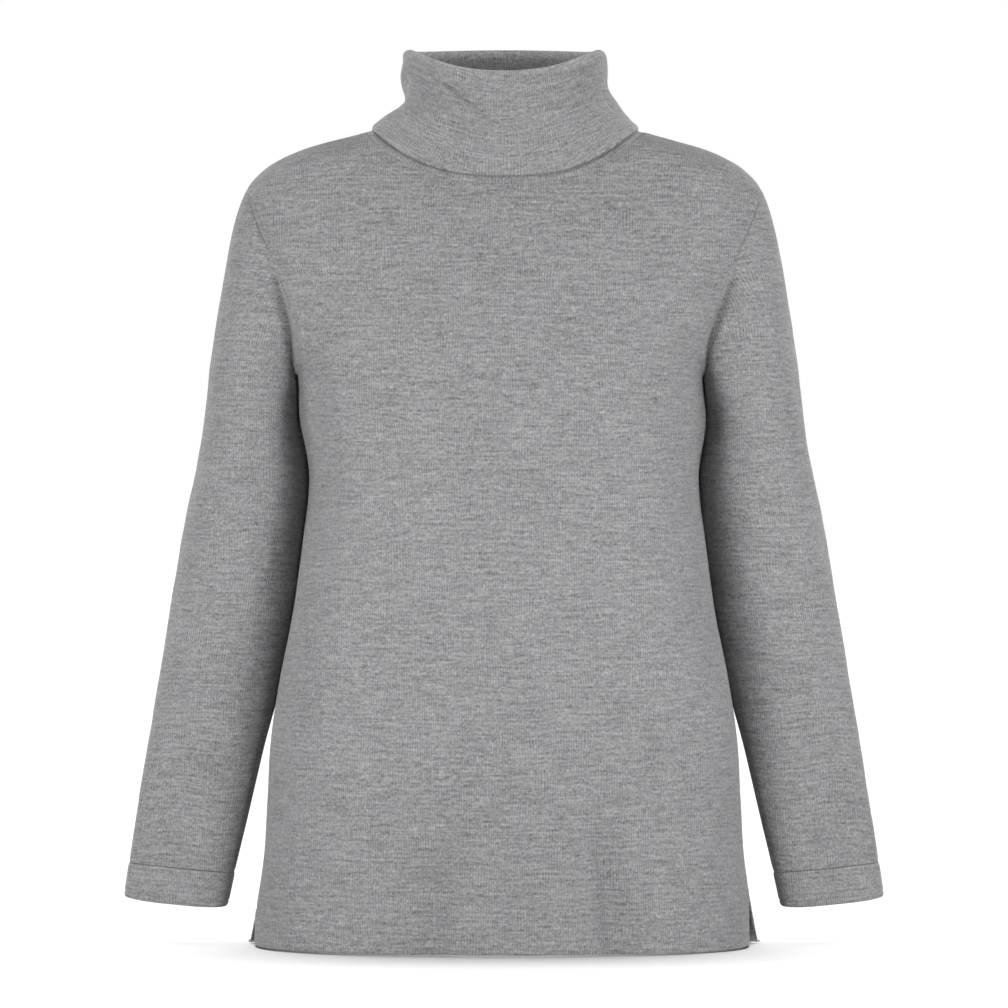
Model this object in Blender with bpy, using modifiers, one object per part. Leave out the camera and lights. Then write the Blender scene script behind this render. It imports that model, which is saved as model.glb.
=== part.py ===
"""A long turtleneck sweater in fine knit, filled out as it is worn, with nobody in it.

Metres, +Z up. The front faces -Y, and +X is the wearer's left. The origin lies midway
between the two points where the shoulder seams meet the neck seam.
"""

import math
from collections import namedtuple

import bmesh
import bpy
import numpy as np
from mathutils import Vector

KNIT_WALL = 0.002
CUFF_WALL = 0.0026
SEAM_GAP = 0.0003

HEM_Z = -0.693
ARMPIT_Z = -0.205
SHOULDER_TIP_Z = -0.0445
NECK_POINT_Z = 0.0030
NECK_HALF_WIDTH = 0.1200
FRONT_NECK_Z = -0.042
BACK_NECK_Z = 0.012
NECK_CURVE = 2.7

TORSO_ROUNDNESS = 2.3
SLEEVE_ROUNDNESS = 2.1
COLLAR_ROUNDNESS = 2.1
NECK_SEAM_GAP = 0.0006
COLLAR_BASE = 0.007
COLLAR_SIDE_LIFT = 2.2
FOLD_LOOP = 5
FALL_INSET = 0.0055
FALL_INSET_BACK = 0.0020
FALL_LIFT_SIDE = 0.0022
FALL_LIFT = {"front": 0.0045, "back": 0.0085}

VENT_HEIGHT = 0.042
VENT_STEP_IN = 0.007
VENT_OPENING = 0.006
VENT_SPREAD = 3
SHOULDER_SPACING = 1.7
FOLD_OVERRUN = 0.6
FOLD_SIDE_FADE = 8

NECK_COLUMNS = 10
SHOULDER_COLUMNS = 5
ARMHOLE_ROWS = 14
FRONT_ROWS = 17
BACK_ROWS = 13

CAP_ROWS = 7
SLEEVE_ROWS = 13
CAP_END_Z = -0.262
CAP_REACH = 0.70
CAP_REACH_TOP = 0.48
CAP_OUT_MIDDLE = 0.75
CAP_OUT_TOP = 0.52
CAP_OUT_UNDER = -0.10
SLEEVE_END_Z = -0.6283
CUFF_END_Z = -0.6575
CUFF_STEP = 0.0008
CUFF_ROWS = 2
CUFF_TILT = 0.09
SLEEVE_CLEARANCE = 0.0018
CLEARANCE_RUN = 0.016

# Half width of the torso, and how far its front and back stand from the side seams.
Section = namedtuple("Section", "z side front back")
TORSO = (
    Section(-0.693, 0.2182, 0.1440, 0.1380),
    Section(-0.656, 0.2118, 0.1430, 0.1370),
    Section(-0.620, 0.2064, 0.1420, 0.1360),
    Section(-0.570, 0.2034, 0.1400, 0.1340),
    Section(-0.520, 0.2006, 0.1380, 0.1310),
    Section(-0.465, 0.1925, 0.1355, 0.1260),
    Section(-0.410, 0.1816, 0.1335, 0.1190),
    Section(-0.350, 0.1735, 0.1320, 0.1110),
    Section(-0.292, 0.1676, 0.1315, 0.1070),
    Section(-0.245, 0.1722, 0.1315, 0.1080),
    Section(-0.205, 0.1745, 0.1300, 0.1110),
    Section(-0.175, 0.1890, 0.1265, 0.1120),
    Section(-0.138, 0.2066, 0.1210, 0.1110),
    Section(-0.104, 0.2167, 0.1150, 0.1070),
    Section(-0.080, 0.2220, 0.1100, 0.1030),
    Section(-0.058, 0.2238, 0.1050, 0.0990),
    Section(-0.0445, 0.2205, 0.1020, 0.0960),
    Section(-0.0350, 0.2130, 0.0990, 0.0930),
    Section(-0.0225, 0.1972, 0.0940, 0.0890),
    Section(-0.0123, 0.1750, 0.0890, 0.0860),
    Section(-0.0042, 0.1480, 0.0850, 0.0830),
    Section(0.0030, 0.1200, 0.0820, 0.0810),
    Section(0.0080, 0.1060, 0.0800, 0.0800),
    Section(0.0140, 0.0930, 0.0780, 0.0790),
)

# Where the armhole seam crosses each height, seen from the front.
Armhole = namedtuple("Armhole", "z x")
ARMHOLE = (
    Armhole(-0.205, 0.1745),
    Armhole(-0.185, 0.1746),
    Armhole(-0.160, 0.1775),
    Armhole(-0.138, 0.1838),
    Armhole(-0.115, 0.1928),
    Armhole(-0.094, 0.2030),
    Armhole(-0.064, 0.2155),
    Armhole(-0.0445, 0.2205),
)

# Outer and inner edge of the sleeve, half its depth, and how far back its middle lies.
Arm = namedtuple("Arm", "z outer inner depth back")
SLEEVE = (
    Arm(-0.6575, 0.3278, 0.2384, 0.0320, 0.016),
    Arm(-0.6283, 0.3236, 0.2322, 0.0335, 0.018),
    Arm(-0.588, 0.3175, 0.2226, 0.0370, 0.021),
    Arm(-0.553, 0.3120, 0.2145, 0.0405, 0.024),
    Arm(-0.519, 0.3066, 0.2065, 0.0440, 0.026),
    Arm(-0.480, 0.3006, 0.1960, 0.0470, 0.029),
    Arm(-0.440, 0.2941, 0.1874, 0.0500, 0.030),
    Arm(-0.400, 0.2876, 0.1800, 0.0525, 0.031),
    Arm(-0.360, 0.2811, 0.1745, 0.0550, 0.032),
    Arm(-0.320, 0.2740, 0.1695, 0.0580, 0.032),
    Arm(-0.292, 0.2692, 0.1678, 0.0600, 0.031),
    Arm(-0.262, 0.2636, 0.1706, 0.0615, 0.027),
)

# The collar's loops from the neck seam up the stand, over the fold and down the fall, all but its lower edge.
Loop = namedtuple("Loop", "side front back side_z front_z back_z")
COLLAR = (
    Loop(0.0985, 0.0935, 0.0715, 0.0110, -0.0285, 0.0240),
    Loop(0.0840, 0.0825, 0.0655, 0.0240, -0.0080, 0.0380),
    Loop(0.0775, 0.0745, 0.0615, 0.0450, 0.0180, 0.0560),
    Loop(0.0768, 0.0698, 0.0598, 0.0660, 0.0410, 0.0730),
    Loop(0.0790, 0.0700, 0.0620, 0.0728, 0.0490, 0.0784),
    Loop(0.0828, 0.0732, 0.0655, 0.0744, 0.0518, 0.0795),
    Loop(0.0866, 0.0775, 0.0690, 0.0705, 0.0478, 0.0765),
    Loop(0.0880, 0.0825, 0.0725, 0.0560, 0.0290, 0.0610),
    Loop(0.0882, 0.0880, 0.0770, 0.0385, 0.0080, 0.0430),
    Loop(0.0970, 0.0960, 0.0850, 0.0240, -0.0140, 0.0270),
)

# Where the collar's fall is pressed in (or, below zero, pushed out); angle 0 is the middle of the front.
Dent = namedtuple("Dent", "angle z angle_reach z_reach depth")
DENTS = (
    Dent(78, 0.026, 11, 0.012, 0.0055),
    Dent(110, 0.030, 14, 0.016, -0.0075),
    Dent(-88, 0.029, 22, 0.010, 0.0080),
    Dent(-58, 0.030, 12, 0.016, 0.0025),
    Dent(-140, 0.032, 18, 0.014, 0.0030),
    Dent(160, 0.036, 16, 0.014, 0.0030),
)

# Soft troughs in the panels: x where each starts and ends, its reach, half width and depth.
Fold = namedtuple("Fold", "panel low_x low_z high_x high_z half_width depth")
FOLDS = (
    Fold("front", -0.058, -0.692, -0.056, -0.600, 0.040, 0.0045),
    Fold("front", 0.093, -0.692, 0.084, -0.500, 0.042, 0.0065),
    Fold("front", -0.168, -0.310, -0.160, -0.180, 0.022, 0.0040),
    Fold("front", 0.166, -0.310, 0.163, -0.220, 0.022, 0.0030),
    Fold("back", -0.105, -0.692, -0.088, -0.480, 0.046, 0.0065),
    Fold("back", 0.020, -0.692, 0.026, -0.560, 0.040, 0.0050),
    Fold("back", 0.128, -0.692, 0.106, -0.520, 0.038, 0.0060),
    Fold("back", -0.060, -0.330, 0.060, -0.300, 0.040, 0.0040),
)

KNIT_GREY = (0.33, 0.33, 0.34, 1.0)
CUFF_GREY = (0.31, 0.31, 0.32, 1.0)


class Column:
    """One column of a table, read as a smooth curve through its rows."""

    def __init__(self, rows, name):
        self.keys = [row[0] for row in rows]
        self.values = [getattr(row, name) for row in rows]
        self.slopes = list(np.gradient(self.values, self.keys))

    def __call__(self, at):
        at = min(max(at, self.keys[0]), self.keys[-1])
        i = min(int(np.searchsorted(self.keys, at, side="right")) - 1, len(self.keys) - 2)
        span = self.keys[i + 1] - self.keys[i]
        f = (at - self.keys[i]) / span
        ends = self.values[i] * (1 + 2 * f) * (1 - f) ** 2 + self.values[i + 1] * f * f * (3 - 2 * f)
        turns = self.slopes[i] * f * (1 - f) ** 2 - self.slopes[i + 1] * f * f * (1 - f)
        return ends + span * turns


torso_side = Column(TORSO, "side")
torso_depth = {"front": Column(TORSO, "front"), "back": Column(TORSO, "back")}
armhole_x = Column(ARMHOLE, "x")
sleeve_outer, sleeve_inner, sleeve_depth, sleeve_back = (
    Column(SLEEVE, name) for name in ("outer", "inner", "depth", "back")
)
FACING = {"front": -1, "back": 1}


def mix(a, b, f):
    return a + (b - a) * f


def ease(f):
    f = min(max(f, 0.0), 1.0)
    return f * f * (3 - 2 * f)


def rounded(angle, roundness):
    """Sine and cosine of a rounded square's outline, which is a circle at roundness 2."""
    across, along = math.sin(angle), math.cos(angle)
    power = 2 / roundness
    return (
        math.copysign(abs(across) ** power, across),
        math.copysign(abs(along) ** power, along),
    )


def torso_y(panel, x, z):
    """Depth of the torso's surface where it is x from the middle at height z."""
    share = min(abs(x) / torso_side(z), 1.0)
    depth = (1 - share**TORSO_ROUNDNESS) ** (1 / TORSO_ROUNDNESS)
    return FACING[panel] * torso_depth[panel](z) * depth


def torso_normal(panel, point):
    """Outward direction of the torso's surface at a point on it."""
    step = 0.001
    power = TORSO_ROUNDNESS

    def level(x, y, z):
        wide = abs(x) / torso_side(z)
        deep = abs(y) / torso_depth[panel](z)
        return wide**power + deep**power

    x, y, z = point
    return Vector(
        (
            level(x + step, y, z) - level(x - step, y, z),
            level(x, y + step, z) - level(x, y - step, z),
            level(x, y, z + step) - level(x, y, z - step),
        )
    ).normalized()


def fold_depth(panel, x, z):
    """How far the folds take the cloth in at this place. A fold runs on past its low end as it fades."""
    depth = 0.0
    for fold in FOLDS:
        if fold.panel != panel:
            continue
        f = (z - fold.low_z) / (fold.high_z - fold.low_z)
        if f > 1 or f < -FOLD_OVERRUN:
            continue
        off = (x - mix(fold.low_x, fold.high_x, f)) / fold.half_width
        fade = 1 - ease(f) if f > 0 else 1 - ease(-f / FOLD_OVERRUN)
        depth += fold.depth * fade * math.exp(-2 * off * off)
    return depth


def neck_z(panel, x):
    middle = FRONT_NECK_Z if panel == "front" else BACK_NECK_Z
    return mix(middle, NECK_POINT_Z, (abs(x) / NECK_HALF_WIDTH) ** NECK_CURVE)


def facing_side(angle):
    return "front" if math.cos(angle) >= 0 else "back"


def neck_point(angle):
    """A point on the neck seam: angle 0 is the middle of the front, a right angle the shoulder seam."""
    panel = facing_side(angle)
    x = NECK_HALF_WIDTH * math.sin(angle)
    z = neck_z(panel, x)
    return Vector((x, torso_y(panel, x, z), z))


def armhole_point(angle):
    """A point on the left armhole seam: 0 is the shoulder tip, a quarter turn the front, half the armpit."""
    z = mix(ARMPIT_Z, SHOULDER_TIP_Z, (1 + math.cos(angle)) / 2)
    panel = "front" if math.sin(angle) >= 0 else "back"
    x = armhole_x(z)
    return Vector((x, torso_y(panel, x, z), z))


def top_edge(panel, share):
    """The panel's top from its middle to the shoulder tip: the neckline, then the shoulder seam."""
    turn = NECK_COLUMNS / (NECK_COLUMNS + SHOULDER_COLUMNS)
    if share <= turn:
        x = NECK_HALF_WIDTH * math.sin(share / turn * math.pi / 2)
        return x, neck_z(panel, x)
    z = mix(NECK_POINT_Z, SHOULDER_TIP_Z, ((share - turn) / (1 - turn)) ** SHOULDER_SPACING)
    return torso_side(z), z


def lower_point(panel, share, z):
    """A point below the armpit, on the level row at height z."""
    open_vent = max(0.0, 1 - (z - HEM_Z) / VENT_HEIGHT)
    across, along = rounded(share * math.pi / 2, TORSO_ROUNDNESS)
    x = torso_side(z) * across
    y = FACING[panel] * torso_depth[panel](z) * along
    if panel == "front":
        x -= math.copysign(VENT_STEP_IN * open_vent * abs(share) ** VENT_SPREAD, share)
    y += FACING[panel] * VENT_OPENING / 2 * open_vent * abs(share) ** VENT_SPREAD
    return Vector((x, y, z))


def upper_point(panel, share, row):
    """A point between the armpit and the shoulder, on a patch filled in between its four edges."""
    size = abs(share)
    even, round_off = row / ARMHOLE_ROWS, (1 - math.cos(math.pi * row / ARMHOLE_ROWS)) / 2
    t = mix(even, round_off, ease(2 * size))
    across = rounded(size * math.pi / 2, TORSO_ROUNDNESS)[0]
    top_x, top_z = top_edge(panel, size)
    middle_top = neck_z(panel, 0)
    edge_z = mix(ARMPIT_Z, SHOULDER_TIP_Z, t)
    x = t * top_x + across * (armhole_x(edge_z) - t * torso_side(SHOULDER_TIP_Z))
    z = (
        mix(ARMPIT_Z, top_z, t)
        + mix(mix(ARMPIT_Z, middle_top, t), edge_z, across)
        - mix(ARMPIT_Z, mix(middle_top, SHOULDER_TIP_Z, across), t)
    )
    x = min(x, torso_side(z))
    y = torso_y(panel, x, z)
    if row == ARMHOLE_ROWS and size > NECK_COLUMNS / (NECK_COLUMNS + SHOULDER_COLUMNS):
        y = 0.0
    return Vector((math.copysign(x, share), y, z))


def material(name, colour, roughness):
    made = bpy.data.materials.new(name)
    made.use_nodes = True
    shader = made.node_tree.nodes["Principled BSDF"]
    shader.inputs["Base Color"].default_value = colour
    shader.inputs["Roughness"].default_value = roughness
    shader.inputs["Metallic"].default_value = 0.0
    made.diffuse_color = colour
    return made


def cloth_piece(name, place, columns, rows, wall, finish, tube=False, turned=False, offset=-1):
    """A grid laid through place(column, row), closed if it is a tube, turned to face out, and given its wall."""
    mesh = bpy.data.meshes.new(name)
    shape = bmesh.new()
    bmesh.ops.create_grid(shape, x_segments=columns, y_segments=rows, size=0.5)
    for vert in shape.verts:
        column = round((vert.co.x + 0.5) * columns)
        row = round((vert.co.y + 0.5) * rows)
        vert.co = place(column % columns if tube else column, row)
    if tube:
        bmesh.ops.remove_doubles(shape, verts=shape.verts[:], dist=1e-6)
    if turned:
        bmesh.ops.reverse_faces(shape, faces=shape.faces[:])
    shape.to_mesh(mesh)
    shape.free()
    mesh.shade_smooth()
    mesh.materials.append(finish)
    piece = bpy.data.objects.new(name, mesh)
    sweater.objects.link(piece)
    thickness = piece.modifiers.new("wall", "SOLIDIFY")
    thickness.thickness = wall
    thickness.offset = offset
    return piece


def make_panel(panel, rows, finish):
    columns = NECK_COLUMNS + SHOULDER_COLUMNS
    aside = Vector((0, FACING[panel] * SEAM_GAP, 0))

    def place(column, row):
        share = (column - columns) / columns
        if row < rows:
            point = lower_point(panel, share, mix(HEM_Z, ARMPIT_Z, row / rows))
        else:
            point = upper_point(panel, share, row - rows)
        inward = torso_normal(panel, point) * fold_depth(panel, point.x, point.z)
        return point - inward * (1 - abs(share) ** FOLD_SIDE_FADE) + aside

    turned = panel == "back"
    return cloth_piece(panel, place, 2 * columns, rows + ARMHOLE_ROWS, KNIT_WALL, finish, turned=turned)


def arm_ring(angle, z, grown=0.0):
    """A point of the sleeve's section at height z, with angle 0 on its outer side."""
    middle = (sleeve_outer(z) + sleeve_inner(z)) / 2
    half = (sleeve_outer(z) - sleeve_inner(z)) / 2 + grown
    toward, outward = rounded(angle, SLEEVE_ROUNDNESS)
    tilt = CUFF_TILT * ease((CAP_END_Z - z) / (CAP_END_Z - SLEEVE_END_Z))
    return Vector(
        (
            middle + half * outward,
            sleeve_back(z) - (sleeve_depth(z) + grown) * toward,
            z + tilt * half * outward,
        )
    )


def cap_leaving(angle):
    """The direction in which the sleeve leaves the armhole seam."""
    high = math.cos(angle)
    out = mix(CAP_OUT_MIDDLE, CAP_OUT_TOP if high > 0 else CAP_OUT_UNDER, high * high)
    return Vector((out, 0.0, -math.sqrt(1 - out * out)))


def clear_of_torso(point):
    """The point, or where it comes too near the torso's side the nearest place outside it."""
    if point.z > ARMPIT_Z:
        return point
    panel = "front" if point.y < 0 else "back"
    share = min(abs(point.y) / torso_depth[panel](point.z), 1.0)
    side = torso_side(point.z) * (1 - share**TORSO_ROUNDNESS) ** (1 / TORSO_ROUNDNESS)
    near = SLEEVE_CLEARANCE * ease((ARMPIT_Z - point.z) / CLEARANCE_RUN) + 2 * SEAM_GAP
    return Vector((max(point.x, side + near), point.y, point.z))


def sleeve_point(angle, row):
    if row >= CAP_ROWS:
        return arm_ring(angle, mix(CAP_END_Z, SLEEVE_END_Z, (row - CAP_ROWS) / SLEEVE_ROWS))
    start = armhole_point(angle) + cap_leaving(angle) * SEAM_GAP * 2.5
    end = arm_ring(angle, CAP_END_Z)
    ahead = (arm_ring(angle, CAP_END_Z - 0.01) - end).normalized()
    span = (end - start).length
    leaving = cap_leaving(angle) * span * mix(CAP_REACH, CAP_REACH_TOP, max(0.0, math.cos(angle)))
    f = row / CAP_ROWS
    return (
        start * (1 + 2 * f) * (1 - f) ** 2
        + end * f * f * (3 - 2 * f)
        + leaving * f * (1 - f) ** 2
        - ahead * CAP_REACH * span * f * f * (1 - f)
    )


def make_sleeve(name, mirror, finish):
    columns = 2 * ARMHOLE_ROWS

    def place(column, row):
        point = clear_of_torso(sleeve_point(2 * math.pi * column / columns, row))
        return Vector((mirror * point.x, point.y, point.z))

    rows = CAP_ROWS + SLEEVE_ROWS
    return cloth_piece(name, place, columns, rows, KNIT_WALL, finish, tube=True, turned=mirror < 0)


def make_cuff(name, mirror, finish):
    columns = 2 * ARMHOLE_ROWS

    def place(column, row):
        z = mix(SLEEVE_END_Z - SEAM_GAP, CUFF_END_Z, row / CUFF_ROWS)
        point = arm_ring(2 * math.pi * column / columns, z, CUFF_STEP)
        return Vector((mirror * point.x, point.y, point.z))

    return cloth_piece(name, place, columns, CUFF_ROWS, CUFF_WALL, finish, tube=True, turned=mirror < 0)


def neck_base(angle, inward, lift=0.0):
    """A point this far in from the neck seam, where the collar still lies on in the torso's surface, or above it."""
    step = 0.01
    seam = neck_point(angle)
    along = neck_point(angle + step) - neck_point(angle - step)
    out = torso_normal(facing_side(angle), seam)
    toward = along.cross(out).normalized()
    if toward.z < 0:
        toward = -toward
    return seam + out * (lift - KNIT_WALL / 2) + toward * inward


def fall_dent(angle, z):
    depth = 0.0
    for dent in DENTS:
        turn = (math.degrees(angle) - dent.angle + 180) % 360 - 180
        depth += dent.depth * math.exp(-((turn / dent.angle_reach) ** 2) - ((z - dent.z) / dent.z_reach) ** 2)
    return depth


def fall_edge(angle, panel):
    """A point of the fall's lower edge, which follows the neck seam a little inside it and stands clear of it."""
    middle = math.cos(angle) ** 2
    inset = mix(FALL_INSET, FALL_INSET_BACK, middle) if panel == "back" else FALL_INSET
    return neck_base(angle, inset, mix(FALL_LIFT_SIDE, FALL_LIFT[panel], middle))


def collar_point(angle, row):
    """A point of the collar: angle 0 is the middle of the front, row 0 the neck seam."""
    if row < 2:
        return neck_base(angle, NECK_SEAM_GAP if row == 0 else COLLAR_BASE)
    panel = facing_side(angle)
    if row - 2 == len(COLLAR):
        return fall_edge(angle, panel)
    loop = COLLAR[row - 2]
    out, ahead = rounded(angle, COLLAR_ROUNDNESS)
    depth, middle_z = (loop.front, loop.front_z) if panel == "front" else (loop.back, loop.back_z)
    z = mix(middle_z, loop.side_z, abs(out) ** COLLAR_SIDE_LIFT)
    shrink = 1.0
    if row - 2 > FOLD_LOOP:
        shrink -= fall_dent(angle, z) / loop.side
    return Vector((loop.side * out * shrink, -depth * ahead * shrink, z))


def make_collar(finish):
    columns = 4 * NECK_COLUMNS

    def place(column, row):
        return collar_point(2 * math.pi * column / columns, row)

    return cloth_piece("collar", place, columns, len(COLLAR) + 2, KNIT_WALL, finish, tube=True, offset=0)


for old in list(bpy.data.objects):
    bpy.data.objects.remove(old)
sweater = bpy.data.collections.new("turtleneck_sweater")
bpy.context.scene.collection.children.link(sweater)
knit = material("grey_knit", KNIT_GREY, 0.95)
cuff_knit = material("cuff_knit", CUFF_GREY, 0.95)

make_panel("front", FRONT_ROWS, knit)
make_panel("back", BACK_ROWS, knit)
for side, mirror in (("left", 1), ("right", -1)):
    make_sleeve(f"sleeve_{side}", mirror, knit)
    make_cuff(f"cuff_{side}", mirror, cuff_knit)
make_collar(knit)
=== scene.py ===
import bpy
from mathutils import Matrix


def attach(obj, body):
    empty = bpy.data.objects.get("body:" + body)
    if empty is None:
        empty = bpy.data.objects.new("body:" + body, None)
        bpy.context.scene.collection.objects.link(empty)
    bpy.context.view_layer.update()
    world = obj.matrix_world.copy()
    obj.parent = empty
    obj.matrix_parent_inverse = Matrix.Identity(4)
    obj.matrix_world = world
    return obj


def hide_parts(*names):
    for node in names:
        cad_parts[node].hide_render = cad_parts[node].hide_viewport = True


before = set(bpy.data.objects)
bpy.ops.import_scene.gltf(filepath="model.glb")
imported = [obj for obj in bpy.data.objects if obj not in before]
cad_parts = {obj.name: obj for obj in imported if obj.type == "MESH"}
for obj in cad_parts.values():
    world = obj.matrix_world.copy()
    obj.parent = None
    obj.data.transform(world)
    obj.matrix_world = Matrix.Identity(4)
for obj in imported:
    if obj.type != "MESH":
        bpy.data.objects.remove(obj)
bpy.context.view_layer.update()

import math

import bpy
import numpy as np
from mathutils import Vector

bpy.ops.object.select_all(action="DESELECT")


def mix(a, b, f):
    return a + (b - a) * f


def ease(f):
    f = np.clip(f, 0, 1)
    return f * f * (3 - 2 * f)


def closeTo(distance, reach):
    # 1 on the spot, nearly nothing two reaches away
    return np.exp(-(distance / reach) ** 2)


def bowed(f, start, end, leaving, arriving):
    # from start to end, setting off along leaving and coming in along arriving
    straight = start * (1 + 2 * f) * (1 - f) ** 2 + end * f * f * (3 - 2 * f)
    return straight + leaving * f * (1 - f) ** 2 - arriving * f * f * (1 - f)


def rounded(angle, roundness):
    across, along = np.sin(angle), np.cos(angle)
    power = 2 / roundness
    return np.sign(across) * np.abs(across) ** power, np.sign(along) * np.abs(along) ** power


def columnCurves(rows):
    # every column after the first, read as a smooth curve over the first
    keys = np.array([row[0] for row in rows], float)
    table = np.array(rows, float)[:, 1:]
    slopes = np.gradient(table, keys, axis=0)

    def curveOf(values, slope):
        def read(at):
            at = np.clip(at, keys[0], keys[-1])
            i = np.clip(np.searchsorted(keys, at, side="right") - 1, 0, len(keys) - 2)
            span = keys[i + 1] - keys[i]
            leaving, arriving = span * slope[i], span * slope[i + 1]
            return bowed((at - keys[i]) / span, values[i], values[i + 1], leaving, arriving)
        return read

    return [curveOf(table[:, c], slopes[:, c]) for c in range(table.shape[1])]


# how jersey creases, lies uneven and hangs

drape = {
    "creaseEnds": 0.35, "creaseRidge": 0.9, "creaseFall": 1.1,
    "waves": 9, "waveShrink": 0.78, "waveFade": 0.85, "waveLean": 0.9, "waveTall": 1.7, "waveSkew": 0.5,
    "waveLevel": 2.2, "waveShift": 6.28,
    "swayHeight": -0.196, "swayTall": 0.042, "swayOut": 0.176, "swayWide": 0.036, "sway": -0.0038,
}


def pressedBy(creases, across, up):
    # soft troughs with a low ridge on either side: from, to, bow, half width, depth
    press = np.zeros(np.shape(across))
    for x0, z0, x1, z1, bow, width, depth in creases:
        run = math.hypot(x1 - x0, z1 - z0)
        ux, uz = (x1 - x0) / run, (z1 - z0) / run
        along = ((across - x0) * ux + (up - z0) * uz) / run
        off = ((up - z0) * ux - (across - x0) * uz - bow * 4 * along * (1 - along)) / width
        fade = ease(along / drape["creaseEnds"]) * ease((1 - along) / drape["creaseEnds"])
        trough = np.exp(-drape["creaseFall"] * off * off)
        press += depth * fade * (1 - drape["creaseRidge"] * off * off) * trough
    return press


def wobble(across, up, seed, height, longest):
    # the slight unevenness of hanging jersey
    draw = np.random.default_rng(seed)
    press = np.zeros(np.shape(across))
    for k in range(drape["waves"]):
        wave = longest * drape["waveShrink"] ** k
        turn = draw.uniform(-drape["waveLean"], drape["waveLean"])
        shift = draw.uniform(0, drape["waveShift"], 2)
        a = across * math.cos(turn) + up * math.sin(turn) * drape["waveSkew"]
        b = up * math.cos(turn) - across * math.sin(turn)
        sideways = np.sin(6.283 * a / wave + shift[0])
        upwards = np.sin(6.283 * b / (drape["waveTall"] * wave) + shift[1])
        press += sideways * upwards * drape["waveFade"] ** k
    return press * height / drape["waveLevel"]


def swayed(placed):
    # under the arms the whole garment hangs a few millimetres to its right
    level = closeTo(placed[..., 2] - drape["swayHeight"], drape["swayTall"])
    level = level * closeTo(np.abs(placed[..., 0]) - drape["swayOut"], drape["swayWide"])
    return placed + drape["sway"] * level[..., None] * (1, 0, 0)


def roundAngles(columns):
    # once round, from half a turn on one side to half a turn on the other
    return np.linspace(-math.pi, math.pi, columns + 1)


def gridNormals(placed, outward):
    alongRow = np.gradient(placed, axis=1)
    alongColumn = np.gradient(placed, axis=0)
    normal = np.cross(alongRow, alongColumn)
    normal /= np.maximum(np.linalg.norm(normal, axis=2, keepdims=True), 1e-12)
    flip = np.sign(np.sum(normal * outward, axis=2, keepdims=True))
    return normal * np.where(flip == 0, 1, flip)


def runOf(points, axis):
    # distance walked along the grid in one direction, starting at 0
    steps = np.linalg.norm(np.diff(points, axis=axis), axis=2)
    start = np.zeros((1, points.shape[1])) if axis == 0 else np.zeros((points.shape[0], 1))
    return np.concatenate([start, np.cumsum(steps, axis=axis)], axis=axis)


def roundFromMiddle(placed):
    # distance walked round on the level, from the middle column
    run = runOf(placed * (1, 1, 0), 1)
    middle = placed.shape[1] // 2
    return run - run[:, middle:middle + 1]


def fromSeam(placed):
    # distance walked round from the nearer of the first and the last column
    run = runOf(placed, 1)
    return np.minimum(run, run[:, -1:] - run)


def layCloth(name, placed, cloth, made, yarn, offset=-1, tube=False, turned=False):
    # a grid with its corners set in place, closed if it is a tube, given its wall and soft rims
    rows, columns = placed.shape[0] - 1, placed.shape[1] - 1
    bpy.ops.mesh.primitive_grid_add(x_subdivisions=columns, y_subdivisions=rows, size=1)
    piece = bpy.context.object
    piece.name = name
    piece.data.name = name
    mesh = piece.data
    flat = np.empty(len(mesh.vertices) * 3)
    mesh.vertices.foreach_get("co", flat)
    flat = flat.reshape(-1, 3)
    column = np.rint((flat[:, 0] + 0.5) * columns).astype(int)
    row = np.rint((flat[:, 1] + 0.5) * rows).astype(int)
    mesh.vertices.foreach_set("co", placed[row, column].ravel())
    corner = np.empty(len(mesh.loops), int)
    mesh.loops.foreach_get("vertex_index", corner)
    layer = mesh.uv_layers[0]
    layer.name = "cloth"
    layer.data.foreach_set("uv", cloth[row, column][corner].ravel())
    bpy.ops.object.mode_set(mode="EDIT")
    bpy.ops.mesh.select_all(action="SELECT")
    if tube:
        bpy.ops.mesh.remove_doubles(threshold=1e-5)
    if turned:
        bpy.ops.mesh.flip_normals()
    bpy.ops.object.mode_set(mode="OBJECT")
    bpy.ops.object.shade_smooth()
    thick = piece.modifiers.new("wall", "SOLIDIFY")
    thick.thickness = made["wall"]
    thick.offset = offset
    soft = piece.modifiers.new("rim", "BEVEL")
    soft.width = made["rim"]
    soft.segments = 2
    soft.limit_method = "ANGLE"
    soft.angle_limit = math.radians(62)  # the wall's edges, never a crease
    soft.harden_normals = True
    for modifier in ("wall", "rim"):
        bpy.ops.object.modifier_apply(modifier=modifier)
    piece.data.materials.append(yarn)
    piece.select_set(False)
    return piece


# the yarn: single jersey in a melange, its stitches sized in the cloth's own metres, with shade painted
# into the low parts of its stitches and the furrows between wales

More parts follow.
